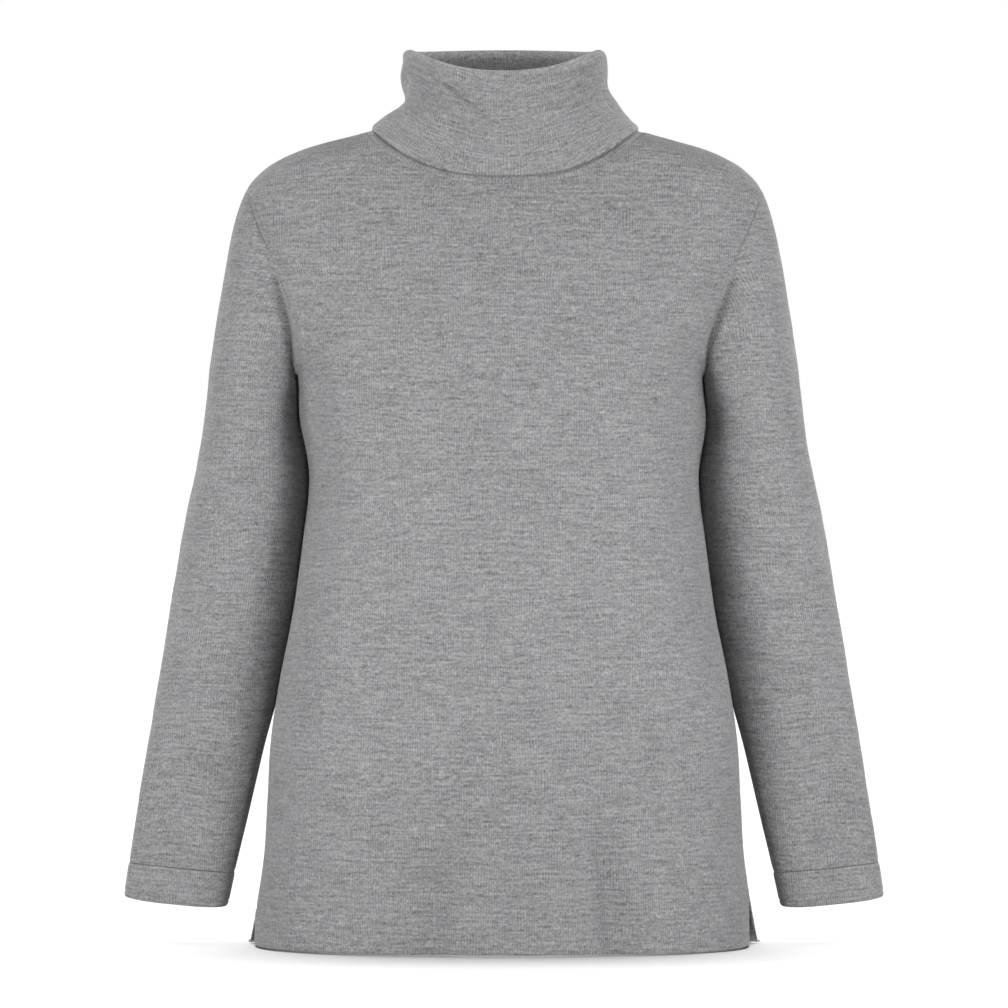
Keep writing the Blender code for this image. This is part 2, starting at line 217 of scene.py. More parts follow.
jersey = {
    # how wales and courses stray: size of the waves across and up, how far
    "wander": (0.030, 0.050, 0.0065), "lift": (0.022, 0.034, 0.0014),
    "slant": -0.85, "legPower": 0.6, "loop": 0.3, "loopLevel": 0.7, "speck": 0.6,
    # light and dark runs of yarn: size across and up, detail, roughness, strength
    "yarnRuns": [(0.0110, 0.0019, 1.0, 0.5, 1.4), (0.040, 0.0023, 1.0, 0.5, 1.35)],
    # and the same for clouds and grain that lie still in the cloth
    "clouds": [(0.075, 0.045, 3.0, 0.5, 0.4), (0.0021, 0.0026, 1.0, 0.6, 1.9)],
    # patches where shade is painted into the furrows between wales: size across and up, detail, roughness
    "furrowShadePatch": (0.026, 0.022, 2.0, 0.5),
    # painted furrow shade: where its patches begin and end, how dark it is, and how much of it stays
    # outside the patches
    "furrowShadeFrom": 0.40, "furrowShadeTo": 0.60, "paintedFurrowShade": -0.36, "furrowShadeLeast": 0.10,
    # loose hairs: size, start of the pattern, strength
    "hairs": [(0.0085, 0.0, 0.75), (0.0062, 3.7, 0.65), (0.0074, 7.9, -0.45)],
    "hairWidth": 0.030, "hairCurl": 0.6, "hairBreaks": 1.7, "hairFrom": 0.50, "hairTo": 0.58,
    # painted shade in every stitch: its level, and how much the stitch's height lightens it
    "stitchPaintedShade": (0.93, 0.12), "fluff": (0.0016, 0.0009, 2.0, 0.6),
}


def addNode(tree, kind, inputs=None, **settings):
    # a node with its inputs, placed in rows of eight in the order they are made
    row, column = divmod(len(tree.nodes), 8)
    made = tree.nodes.new(kind)
    made.location = (220 * column, -320 * row)
    for key, value in settings.items():
        setattr(made, key, value)
    for key, value in (inputs or {}).items():
        made.inputs[key].default_value = value
    return made


def buildKnitGroup():
    group = bpy.data.node_groups.new("melangeJersey", "ShaderNodeTree")
    asked = {"Cloth": "Vector", "Yarn": "Color"}
    asked.update(dict.fromkeys(("Melange", "Wale", "Course", "Pile"), "Float"))
    for name, kind in asked.items():
        group.interface.new_socket(name, in_out="INPUT", socket_type="NodeSocket" + kind)
    for name, kind in (("Color", "Color"), ("Height", "Float")):
        group.interface.new_socket(name, in_out="OUTPUT", socket_type="NodeSocket" + kind)
    start = addNode(group, "NodeGroupInput")
    end = addNode(group, "NodeGroupOutput")
    link = group.links.new

    def maths(operation, *values):
        made = addNode(group, "ShaderNodeMath", operation=operation)
        for i, value in enumerate(values):
            if isinstance(value, (int, float)):
                made.inputs[i].default_value = value
            else:
                link(value, made.inputs[i])
        return made.outputs[0]

    def total(added, *values):
        for value in values:
            added = maths("ADD", added, value)
        return added

    def mapRange(value, low, high, lowOut=0.0, highOut=1.0):
        made = addNode(group, "ShaderNodeMapRange",
                       {"From Min": low, "From Max": high, "To Min": lowOut, "To Max": highOut})
        link(value, made.inputs["Value"])
        return made.outputs[0]

    def scaled(vector, times):
        made = addNode(group, "ShaderNodeVectorMath", operation="SCALE")
        link(vector, made.inputs[0])
        if isinstance(times, float):
            made.inputs["Scale"].default_value = times
        else:
            link(times, made.inputs["Scale"])
        return made.outputs[0]

    def noise(vector, detail, rough, distortion=0.0):
        look = {"Scale": 1.0, "Detail": detail, "Roughness": rough, "Distortion": distortion}
        made = addNode(group, "ShaderNodeTexNoise", look, noise_dimensions="2D")
        link(vector, made.inputs["Vector"])
        return made.outputs[0]

    def patches(vector, longX, longY, detail=1.0, rough=0.55):
        stretch = addNode(group, "ShaderNodeMapping", {"Scale": (1 / longX, 1 / longY, 1)})
        link(vector, stretch.inputs["Vector"])
        return noise(stretch.outputs[0], detail, rough)

    cloth = start.outputs["Cloth"]
    parts = addNode(group, "ShaderNodeSeparateXYZ")
    link(cloth, parts.inputs[0])
    # wales and courses wander a little
    strayed = []
    for axis, key in enumerate(("wander", "lift")):
        *size, far = jersey[key]
        stray = maths("MULTIPLY", patches(cloth, *size), far)
        strayed.append(maths("ADD", parts.outputs[axis], stray))
    u, v = strayed
    wale = maths("DIVIDE", u, start.outputs["Wale"])
    course = maths("DIVIDE", v, start.outputs["Course"])
    inWale = maths("FRACT", wale)
    # the two legs of a stitch lean towards each other
    halfWales = maths("SUBTRACT", maths("MULTIPLY", inWale, 2.0), 1.0)
    leg = maths("ABSOLUTE", halfWales)
    slant = maths("ADD", course, maths("MULTIPLY", leg, jersey["slant"]))
    loop = maths("SINE", maths("MULTIPLY", slant, 6.2832))
    ridge = maths("SINE", maths("MULTIPLY", leg, 3.1416))
    loop = maths("MULTIPLY", loop, jersey["loop"])
    loopHeight = maths("ADD", loop, jersey["loopLevel"])
    stitch = maths("MULTIPLY", maths("POWER", ridge, jersey["legPower"]), loopHeight)
    # every stitch takes its own tone
    cell = addNode(group, "ShaderNodeCombineXYZ")
    link(maths("FLOOR", wale), cell.inputs[0])
    link(maths("FLOOR", slant), cell.inputs[1])
    speck = addNode(group, "ShaderNodeTexWhiteNoise", noise_dimensions="2D")
    link(cell.outputs[0], speck.inputs["Vector"])
    ownTone = maths("SUBTRACT", speck.outputs["Value"], 0.5)
    tone = maths("MULTIPLY", ownTone, jersey["speck"])
    # the yarn runs light and dark along the course
    moved = addNode(group, "ShaderNodeCombineXYZ")
    link(u, moved.inputs[0])
    link(v, moved.inputs[1])
    runs = [(moved.outputs[0], run) for run in jersey["yarnRuns"]]
    runs += [(cloth, run) for run in jersey["clouds"]]
    for vector, (*look, strength) in runs:
        run = maths("SUBTRACT", patches(vector, *look), 0.5)
        tone = total(tone, maths("MULTIPLY", run, strength))
    hairs = []
    for size, shift, strength in jersey["hairs"]:
        place = addNode(group, "ShaderNodeMapping",
                        {"Location": (shift, 1.3 * shift, 0), "Scale": (1 / size, 1 / size, 1)})
        link(cloth, place.inputs["Vector"])
        curl = noise(place.outputs[0], 1.0, 0.5, jersey["hairCurl"])
        finer = scaled(place.outputs[0], jersey["hairBreaks"])
        broken = noise(finer, 1.0, 0.5)
        off = maths("ABSOLUTE", maths("SUBTRACT", curl, 0.5))
        line = mapRange(off, 0.0, jersey["hairWidth"], strength, 0.0)
        piece = mapRange(broken, jersey["hairFrom"], jersey["hairTo"])
        hairs.append(maths("MULTIPLY", line, piece))
    # painted shade: dark lines along the furrows between wales, lighter halfway between them, strongest in
    # patches
    rib = maths("COSINE", maths("MULTIPLY", inWale, 6.2832))
    furrowShadeMask = patches(cloth, *jersey["furrowShadePatch"])
    furrowShadeMask = mapRange(furrowShadeMask, jersey["furrowShadeFrom"], jersey["furrowShadeTo"])
    paintedFurrowShade = maths("MULTIPLY", maths("MULTIPLY", rib, jersey["paintedFurrowShade"]),
                   maths("ADD", furrowShadeMask, jersey["furrowShadeLeast"]))
    # the yarn's own tone and loose hairs, with the painted furrow shade
    tone = total(tone, total(*hairs), paintedFurrowShade)
    tone = maths("ADD", 1.0, maths("MULTIPLY", tone, start.outputs["Melange"]))
    # painted shade: the colour is darker where the stitch sits low, in its grooves
    level, byStitch = jersey["stitchPaintedShade"]
    shade = maths("ADD", level, maths("MULTIPLY", stitch, byStitch))
    tone = maths("MULTIPLY", tone, shade)
    link(scaled(start.outputs["Yarn"], tone), end.inputs["Color"])
    fluff = patches(cloth, *jersey["fluff"])
    height = maths("ADD", stitch, maths("MULTIPLY", fluff, start.outputs["Pile"]))
    link(height, end.inputs["Height"])


def knitMaterial(name, look):
    made = bpy.data.materials.new(name)
    made.use_nodes = True
    tree = made.node_tree
    shader = tree.nodes["Principled BSDF"]
    uv = addNode(tree, "ShaderNodeUVMap", uv_map="cloth")
    knit = addNode(tree, "ShaderNodeGroup", node_tree=bpy.data.node_groups["melangeJersey"])
    for node in (shader, knit):
        for key in look.keys() & node.inputs.keys():
            node.inputs[key].default_value = look[key]
    bump = addNode(tree, "ShaderNodeBump",
                   {"Strength": look["bump"], "Distance": look["depth"]})
    tree.links.new(uv.outputs[0], knit.inputs["Cloth"])
    tree.links.new(knit.outputs["Color"], shader.inputs["Base Color"])
    tree.links.new(knit.outputs["Height"], bump.inputs["Height"])
    tree.links.new(bump.outputs[0], shader.inputs["Normal"])
    made.diffuse_color = look["Yarn"]
    return made


# what goes to the inputs of the same names, and how the stitches stand out
knitLook = {
    "Yarn": (0.33, 0.33, 0.337, 1.0), "Melange": 0.40, "Wale": 0.00215, "Course": 0.0015, "Pile": 0.35,
    "Metallic": 0.0, "Roughness": 0.92, "Specular IOR Level": 0.25,
    "Sheen Weight": 0.30, "Sheen Roughness": 0.4, "Sheen Tint": (1.0, 1.0, 1.0, 1.0),
    "bump": 0.55, "depth": 0.0006,
}
# the cuffs' yarn is the sleeves' yarn painted a little lighter: painted light, so the cuffs come out as
# bright as the sleeves above them
cuffPaintedLightLook = dict(knitLook, Yarn=(0.335, 0.335, 0.342, 1.0), Melange=0.38)

buildKnitGroup()
greyKnit = knitMaterial("greyKnit", knitLook)
cuffPaintedLightKnit = knitMaterial("cuffPaintedLightKnit", cuffPaintedLightLook)
print("yarn ready")


# front and back, two panels that meet at the side seams and the shoulder seams

body = {
    # height, half width, how far the front and the back stand out
    "sections": [
        (-0.693, 0.2182, 0.144, 0.138), (-0.656, 0.2118, 0.143, 0.137), (-0.62, 0.2064, 0.142, 0.136),
        (-0.57, 0.2034, 0.14, 0.134), (-0.52, 0.2006, 0.138, 0.131), (-0.465, 0.1925, 0.1355, 0.126),
        (-0.41, 0.1816, 0.1335, 0.119), (-0.35, 0.1735, 0.132, 0.111), (-0.292, 0.1676, 0.1315, 0.107),
        (-0.245, 0.1722, 0.1315, 0.108), (-0.205, 0.1745, 0.13, 0.111), (-0.175, 0.189, 0.1265, 0.112),
        (-0.138, 0.2066, 0.121, 0.111), (-0.104, 0.2167, 0.115, 0.107), (-0.08, 0.222, 0.11, 0.103),
        (-0.058, 0.2238, 0.105, 0.099), (-0.0445, 0.2205, 0.102, 0.096), (-0.035, 0.213, 0.099, 0.093),
        (-0.0225, 0.1972, 0.094, 0.089), (-0.0123, 0.175, 0.089, 0.086), (-0.0042, 0.148, 0.085, 0.083),
        (0.003, 0.12, 0.082, 0.081), (0.008, 0.106, 0.08, 0.08), (0.014, 0.093, 0.078, 0.079),
    ],
    "armhole": [  # height, half width of the seam
        (-0.205, 0.1745), (-0.185, 0.1746), (-0.16, 0.1775), (-0.138, 0.1838),
        (-0.115, 0.1928), (-0.094, 0.203), (-0.064, 0.2155), (-0.0445, 0.2205),
    ],
    "roundness": 2.3, "hem": -0.693, "armpit": -0.205, "tip": -0.0445,
    "neckPoint": 0.0030, "neckHalf": 0.1200, "neckFront": -0.0459, "neckBack": 0.012, "neckCurve": 2.7,
    # the vents on the wearer's right and left, and how far the back's corners turn in, back and out there
    "ventHeight": (0.024, 0.044), "ventStep": (0.0045, 0.0085), "ventOpening": 0.006, "ventSpread": 3,
    "ventTurn": (0.0080, 0.0115, 0.0018), "turnAt": 0.94, "turnReach": 0.035, "cornerReach": 0.03,
    "wall": 0.002, "rim": 0.00012, "neckShare": 2 / 3, "shoulderSpacing": 1.7,
    "edgeColumns": (0.0026, 0.0010),
    "neckColumns": 46, "shoulderColumns": 26, "hemRows": 26, "bodyRows": 96, "chestRows": 66,
    "hemRun": 0.05, "hemSpacing": 1.6, "chestSpacing": 2.4,
    # half width and depth that the columns and the cloth's metres are measured round with
    "columnsRound": (0.20, 0.135), "clothRound": (0.25, 0.11),
    "clothTurns": 0.10, "slopesFrom": -0.12, "slopesOver": 0.06,
    "seamGap": 0.00004, "seamDepth": 0.00022, "seamReach": 0.0022, "seamFrom": 0.035, "seamOver": 0.012,
    "hemRoll": 0.0011, "hemRollReach": 0.0011,
    "stitchLine": 0.0007, "stitchHeight": (0.031, 0.049), "stitchReach": 0.0014,
    "uneven": 0.0006, "longestWave": 0.16, "foldEnd": 0.6, "foldFall": 2, "flatSides": 8, "flatTop": 0.02,
    # a low swell beside the seams: where it starts and ends and over what height, how far in, how wide
    "swellFoot": (-0.300, 0.06), "swellTop": (-0.095, 0.05), "swellIn": 0.009, "swellReach": 0.008,
}

panels = {
    "front": {
        "facing": -1, "seed": 11, "shift": (0.0, 0.0), "swell": 0.0022,
        # long soft troughs: low x, low z, high x, high z, half width, depth
        "folds": [
            (-0.058, -0.692, -0.056, -0.59, 0.03, 0.0075), (0.091, -0.692, 0.084, -0.51, 0.032, 0.0085),
            (-0.168, -0.31, -0.16, -0.18, 0.022, 0.004), (0.166, -0.31, 0.163, -0.22, 0.022, 0.003),
        ],
        "creases": [
            (-0.15, -0.18, -0.166, -0.29, 0.002, 0.012, 0.0012),
            (0.16, -0.27, 0.156, -0.34, -0.002, 0.012, 0.001),
            (-0.165, -0.286, -0.14, -0.304, 0.002, 0.01, 0.0014),
            (0.163, -0.29, 0.135, -0.312, -0.002, 0.01, 0.001),
            (-0.176, -0.142, -0.156, -0.118, 0.001, 0.004, 0.0005),
            (-0.172, -0.168, -0.14, -0.146, 0.001, 0.0042, 0.0006),
            (-0.176, -0.212, -0.136, -0.18, 0.002, 0.0045, 0.0007),
            (-0.158, -0.232, -0.136, -0.222, 0.001, 0.004, 0.0005),
            (0.176, -0.15, 0.15, -0.124, -0.001, 0.004, 0.0004),
            (0.172, -0.196, 0.138, -0.17, -0.001, 0.0045, 0.0006),
            (-0.002, -0.262, 0.027, -0.287, 0.002, 0.007, 0.0005),
            (-0.002, -0.262, -0.03, -0.29, -0.002, 0.007, 0.0004),
            (-0.116, -0.425, -0.053, -0.425, 0.001, 0.006, 0.0004),
            (0.082, -0.634, 0.125, -0.678, 0.002, 0.008, 0.0009),
            (0.06, -0.64, 0.094, -0.69, -0.002, 0.008, 0.0007),
            (-0.198, -0.52, -0.192, -0.64, 0.003, 0.014, 0.0012),
            (0.19, -0.54, 0.198, -0.64, -0.003, 0.014, 0.0012),
            (0.101, -0.755, 0.075, -0.53, 0.001, 0.014, 0.0072),
            (-0.058, -0.755, -0.056, -0.58, -0.001, 0.017, 0.0062),
        ],
    },
    "back": {
        "facing": 1, "seed": 12, "shift": (3.1, 0.37), "swell": 0.0010,
        "folds": [
            (-0.105, -0.692, -0.088, -0.48, 0.046, 0.0065), (0.02, -0.692, 0.026, -0.56, 0.04, 0.005),
            (0.128, -0.692, 0.106, -0.52, 0.038, 0.006), (-0.06, -0.33, 0.06, -0.3, 0.04, 0.004),
        ],
        "creases": [
            (-0.15, -0.19, -0.12, -0.3, 0.004, 0.014, 0.0016),
            (0.148, -0.18, 0.126, -0.29, -0.004, 0.014, 0.0018),
            (-0.12, -0.345, 0.02, -0.352, -0.006, 0.01, 0.0014),
            (0.01, -0.318, 0.13, -0.3, 0.005, 0.01, 0.0012),
            (-0.09, -0.03, -0.06, -0.11, 0.003, 0.012, 0.001),
            (0.086, -0.034, 0.052, -0.12, -0.003, 0.012, 0.0009),
            (-0.166, -0.52, -0.172, -0.64, 0.003, 0.014, 0.0012),
            (0.168, -0.56, 0.176, -0.66, -0.003, 0.014, 0.0012),
        ],
    },
}

bodySide, frontDepth, backDepth = columnCurves(body["sections"])
armholeX, = columnCurves(body["armhole"])
depthOf = {"front": frontDepth, "back": backDepth}


def restAt(share):
    # the share of the depth that is left at a share of the half width, and the other way about
    return (1 - share ** body["roundness"]) ** (1 / body["roundness"])


def bodyY(panel, x, z):
    share = np.minimum(np.abs(x) / bodySide(z), 1)
    return panels[panel]["facing"] * depthOf[panel](z) * restAt(share)


def bodyPoint(isFront, x, z):
    y = np.where(isFront, bodyY("front", x, z), bodyY("back", x, z))
    return np.stack([x, y, z], axis=-1)


def neckZ(panel, x):
    middle = body["neckFront"] if panel == "front" else body["neckBack"]
    return mix(middle, body["neckPoint"], (np.abs(x) / body["neckHalf"]) ** body["neckCurve"])


def quarterRun(angle, size):
    # how far across, and the distance walked, on the way round a quarter of the body
    across, along = rounded(angle, body["roundness"])
    steps = np.hypot(size[0] * np.diff(across), size[1] * np.diff(along))
    return size[0] * across, np.concatenate([[0], np.cumsum(steps)])


def panelShares():
    # columns a few millimetres apart round the body, one of them at the neck point
    fine = np.linspace(0, 1, 2001)
    run = quarterRun(fine * math.pi / 2, body["columnsRound"])[1]
    atNeck = np.interp(body["neckShare"], fine, run)
    inner = np.interp(np.linspace(0, atNeck, body["neckColumns"] + 1), run, fine)
    outerRun = np.linspace(atNeck, run[-1], body["shoulderColumns"] + 1)
    outerRun = np.concatenate([outerRun[:-1], run[-1] - np.array(body["edgeColumns"]), run[-1:]])
    outer = np.interp(outerRun, run, fine)
    half = np.concatenate([inner, outer[1:]])
    return np.concatenate([-half[:0:-1], half])


def lowerRows(panel, shares, heights):
    share, z = np.meshgrid(shares, heights)
    ventHeight, ventStep = (np.where(share < 0, *body[key]) for key in ("ventHeight", "ventStep"))
    openVent = np.maximum(0, 1 - (z - body["hem"]) / ventHeight) * np.abs(share) ** body["ventSpread"]
    across, along = rounded(share * math.pi / 2, body["roundness"])
    x = bodySide(z) * across
    y = panels[panel]["facing"] * (depthOf[panel](z) * along + body["ventOpening"] / 2 * openVent)
    if panel == "front":
        x = x - np.sign(share) * ventStep * openVent
    else:
        turnIn, turnBack, turnOut = body["ventTurn"]
        atCorner = closeTo(1 - np.abs(share), body["cornerReach"])
        nearCorner = closeTo(body["turnAt"] - np.abs(share), body["turnReach"])
        x = x - np.sign(share) * turnIn * openVent * nearCorner
        x = x + np.sign(share) * turnOut * openVent * atCorner
        y = y + turnBack * openVent * atCorner
    return np.stack([x, y, z], axis=2)


def upperRows(panel, shares, climb):
    share, even = np.meshgrid(shares, climb)
    size = np.abs(share)
    t = mix(even, (1 - np.cos(math.pi * even)) / 2, ease(2 * size))
    across = rounded(size * math.pi / 2, body["roundness"])[0]
    turn = body["neckShare"]
    neckX = body["neckHalf"] * np.sin(np.minimum(size / turn, 1) * math.pi / 2)
    outward = np.clip((size - turn) / (1 - turn), 0, 1) ** body["shoulderSpacing"]
    shoulderZ = mix(body["neckPoint"], body["tip"], outward)
    onNeck = size <= turn + 1e-9
    topX = np.where(onNeck, neckX, bodySide(shoulderZ))
    topZ = np.where(onNeck, neckZ(panel, neckX), shoulderZ)
    middleTop = neckZ(panel, 0.0)
    edgeZ = mix(body["armpit"], body["tip"], t)
    x = t * topX + across * (armholeX(edgeZ) - t * bodySide(body["tip"]))
    z = (mix(body["armpit"], topZ, t) + mix(mix(body["armpit"], middleTop, t), edgeZ, across)
         - mix(body["armpit"], mix(middleTop, body["tip"], across), t))
    x = np.minimum(x, bodySide(z))
    return np.stack([np.sign(share) * x, bodyY(panel, x, z), z], axis=2)


def climbRows(panel, shares):
    # rows from armpit to shoulder, evenly spaced over the curve of the shoulder
    fine = 1 - (1 - np.linspace(0, 1, 401)) ** body["chestSpacing"]
    run = runOf(upperRows(panel, shares, fine), 0).mean(axis=1)
    return np.interp(np.linspace(0, run[-1], body["chestRows"] + 1), run, fine)


def panelCloth(placed, armpitRow):
    # the cloth's own metres: wales run up the body, courses lie level
    x, z = placed[:, :, 0], placed[:, :, 2]
    middle = placed.shape[1] // 2
    u = roundFromMiddle(placed)
    across, shoulderRun = quarterRun(np.linspace(0, math.pi / 2, 400), body["clothRound"])
    atArmpit = np.interp(np.abs(x), np.abs(x[armpitRow, middle:]), np.abs(u[armpitRow, middle:]))
    atShoulder = np.interp(np.abs(x), across, shoulderRun)
    upper = mix(atArmpit, atShoulder, ease((z - body["armpit"]) / body["clothTurns"]))
    above = np.arange(placed.shape[0])[:, None] > armpitRow
    u = np.where(above, np.sign(x) * upper, u)
    slope = runOf(placed * (0, 1, 1), 0)
    extra = np.diff(slope, axis=0) - np.abs(np.diff(z, axis=0))
    extra = extra * ease((z[1:] - body["slopesFrom"]) / body["slopesOver"])
    v = z + np.concatenate([np.zeros((1, z.shape[1])), np.cumsum(extra, axis=0)])
    return np.stack([u, v], axis=2)


def makePanel(name):
    cut = panels[name]
    shares = panelShares()
    spaced = np.linspace(0, 1, body["hemRows"] + 1)[:-1] ** body["hemSpacing"]
    bodyRows = np.linspace(body["hem"] + body["hemRun"], body["armpit"], body["bodyRows"] + 1)
    heights = np.concatenate([body["hem"] + body["hemRun"] * spaced, bodyRows])
    upper = upperRows(name, shares, climbRows(name, shares)[1:])
    placed = np.concatenate([lowerRows(name, shares, heights), upper])
    cloth = panelCloth(placed, len(heights) - 1) + cut["shift"]
    normal = gridNormals(placed, placed * (1, 1, 0))
    x, z = placed[:, :, 0], placed[:, :, 2]
    press = np.zeros(x.shape)
    for lowX, lowZ, highX, highZ, width, depth in cut["folds"]:
        f = (z - lowZ) / (highZ - lowZ)
        off = (x - mix(lowX, highX, f)) / width
        fade = np.where(f > 0, 1 - ease(f), 1 - ease(-f / body["foldEnd"]))
        press += depth * fade * np.exp(-body["foldFall"] * off * off)
    press += pressedBy(cut["creases"], x, z)
    press += wobble(x, z, cut["seed"], body["uneven"], body["longestWave"])
    fromTop = runOf(placed, 0)
    fromTop = fromTop[-1:, :] - fromTop
    fromSide = fromSeam(placed)
    press *= (1 - np.abs(shares)[None, :] ** body["flatSides"]) * ease(fromTop / body["flatTop"])
    seam = np.maximum(closeTo(fromSide, body["seamReach"]), closeTo(fromTop, body["seamReach"]))
    seam = seam * ease((z - body["hem"] - body["seamFrom"]) / body["seamOver"])
    press += body["seamDepth"] * seam
    (foot, footRun), (top, topRun) = body["swellFoot"], body["swellTop"]
    swell = ease((top - z) / topRun) * ease((z - foot) / footRun)
    press -= cut["swell"] * swell * closeTo(fromSide - body["swellIn"], body["swellReach"])
    fromHem = z - body["hem"]
    free = np.where(fromHem < np.where(x < 0, *body["ventHeight"]), fromSide, 1)
    rolled = np.maximum(closeTo(fromHem, body["hemRollReach"]), closeTo(free, body["hemRollReach"]))
    press += body["hemRoll"] * rolled
    stitchAt = mix(*body["stitchHeight"], x / (2 * body["sections"][0][1]) + 0.5)
    press += body["stitchLine"] * closeTo(fromHem - stitchAt, body["stitchReach"])
    placed = swayed(placed - normal * press[:, :, None]) + (0, cut["facing"] * body["seamGap"], 0)
    return layCloth(name + "Knit", placed, cloth, body, greyKnit, turned=name == "back")


frontKnit = makePanel("front")
backKnit = makePanel("back")
print("front and back laid")


# sleeves and cuffs, made on the wearer's left and mirrored for the right

sleeve = {
    # height, outer and inner edge, half depth, how far back the middle lies
    "sections": [
        (-0.6575, 0.3278, 0.2384, 0.032, 0.016), (-0.6283, 0.3236, 0.2322, 0.0335, 0.018),
        (-0.588, 0.3175, 0.2226, 0.037, 0.021), (-0.553, 0.312, 0.2145, 0.0405, 0.024),
        (-0.519, 0.3066, 0.2065, 0.044, 0.026), (-0.48, 0.3006, 0.196, 0.047, 0.029),
        (-0.44, 0.2941, 0.1874, 0.05, 0.03), (-0.4, 0.2876, 0.18, 0.0525, 0.031),
        (-0.36, 0.2811, 0.1745, 0.055, 0.032), (-0.32, 0.274, 0.1695, 0.058, 0.032),
        (-0.292, 0.2692, 0.1678, 0.06, 0.031), (-0.262, 0.2636, 0.1706, 0.0615, 0.027),
    ],
    "roundness": 2.1, "forearmRoundness": 3.4, "flattensFrom": -0.43, "flattensOver": 0.13,
    "flattened": 0.20, "turned": 0.14, "tilt": 0.09, "capEnd": -0.262, "end": -0.6283, "cuffEnd": -0.6575,
    # how the cap leaves the armhole seam and comes down on the upper arm
    "capReach": 0.70, "capReachTop": 0.48, "leaveMiddle": 0.75, "leaveTop": 0.52, "leaveUnder": -0.10,
    "capGaps": 2.5, "capAhead": 0.01, "capSpacing": 1.35,
    # how the arm lies in behind the body's side, and how far it keeps from it
    "behind": 0.0065, "behindAt": 0.042, "behindReach": 0.022,
    "behindFrom": 0.004, "behindOver": 0.012, "behindTo": -0.255, "behindEnd": 0.07,
    "clearance": 0.0016, "clearanceRun": 0.030,
    "columns": 96, "capRows": 42, "rows": 120, "wall": 0.002, "rim": 0.00012, "middleBelow": 0.03,
    "uneven": 0.0005, "longestWave": 0.11, "flatTop": 0.025, "flatEnd": 0.02, "flatUnder": 0.03,
    "endRoll": 0.0005, "endRollReach": 0.0024,
    # in the sleeve's own metres: round from the outer line, and up
    "creases": {
        "left": [
            (0.06, -0.42, 0.15, -0.395, 0.004, 0.012, 0.0012),
            (0.07, -0.455, 0.15, -0.445, -0.003, 0.01, 0.0009),
            (-0.06, -0.4, -0.15, -0.38, 0.004, 0.012, 0.0012),
            (0.03, -0.24, 0.14, -0.29, 0.006, 0.014, 0.0014),
            (-0.03, -0.23, -0.13, -0.285, -0.006, 0.014, 0.0014),
            (0.01, -0.56, 0.09, -0.585, 0.003, 0.01, 0.0008),
        ],
        "right": [
            (0.055, -0.405, 0.15, -0.385, 0.004, 0.012, 0.0011),
            (0.06, -0.44, 0.14, -0.432, -0.003, 0.01, 0.0008),
            (-0.05, -0.415, -0.15, -0.398, 0.004, 0.012, 0.0012),
            (0.034, -0.232, 0.14, -0.276, 0.006, 0.014, 0.0012),
            (-0.03, -0.24, -0.13, -0.292, -0.006, 0.014, 0.0014),
            (0.02, -0.575, 0.095, -0.592, 0.003, 0.01, 0.0009),
        ],
    },
    # where the sleeve falls back beside the front's edge: from and to which height, how wide and deep
    "tuck": {
        "from": -0.092, "over": 0.055, "to": -0.225, "width": 0.0180, "depth": 0.0115, "step": 0.0045,
        "ahead": 0.004, "aheadOver": 0.025,
    },
    "seed": {"left": 21, "right": 22}, "shift": {"left": (6.3, 0.11), "right": (8.9, 0.53)},
}

cuff = {
    "step": 0.0004, "wall": 0.0026, "rim": 0.0010, "rows": 40, "sag": 0.0022, "gap": 0.0004,
    "lineAt": 0.0045, "lineDepth": 0.0007, "lineReach": 0.0010,
    "seamRoll": 0.0008, "tuckIn": 0.0010, "rollReach": 0.0016,
    "shift": {"left": (11.7, 0.29), "right": (13.9, 0.71)},
}

armOuter, armInner, armDepth, armBack = columnCurves(sleeve["sections"])


def armRing(angle, z, grown=0.0):
    middle = (armOuter(z) + armInner(z)) / 2
    half = (armOuter(z) - armInner(z)) / 2 + grown
    flatter = ease((sleeve["flattensFrom"] - z) / sleeve["flattensOver"])
    toward, outward = rounded(angle, mix(sleeve["roundness"], sleeve["forearmRoundness"], flatter))
    tilt = sleeve["tilt"] * ease((sleeve["capEnd"] - z) / (sleeve["capEnd"] - sleeve["end"]))
    depth = armDepth(z) * (1 - sleeve["flattened"] * flatter) + grown
    y = armBack(z) - depth * toward + sleeve["turned"] * flatter * half * outward
    return np.stack([middle + half * outward, y, z + tilt * half * outward], axis=-1)


def armMiddle(z, height):
    return np.stack([(armOuter(z) + armInner(z)) / 2, armBack(z), height], axis=-1)


def armholePoint(angle):
    z = mix(body["armpit"], body["tip"], (1 + np.cos(angle)) / 2)
    return bodyPoint(np.sin(angle) >= 0, armholeX(z), z)


def sleeveCap(angle, climb):
    # from the armhole seam down to the upper arm
    high = np.cos(angle)
    farOut = np.where(high > 0, sleeve["leaveTop"], sleeve["leaveUnder"])
    out = mix(sleeve["leaveMiddle"], farOut, high * high)
    leaving = np.stack([out, 0 * out, -np.sqrt(1 - out * out)], axis=-1)
    start = armholePoint(angle) + leaving * body["seamGap"] * sleeve["capGaps"]
    end = armRing(angle, sleeve["capEnd"] + 0 * angle)
    ahead = armRing(angle, sleeve["capEnd"] - sleeve["capAhead"] + 0 * angle) - end
    ahead /= np.linalg.norm(ahead, axis=-1, keepdims=True)
    span = np.linalg.norm(end - start, axis=-1, keepdims=True)
    leaving *= span * mix(sleeve["capReach"], sleeve["capReachTop"], np.maximum(0, high))[:, None]
    return bowed(climb[:, None, None], start, end, leaving, ahead * (sleeve["capReach"] * span))


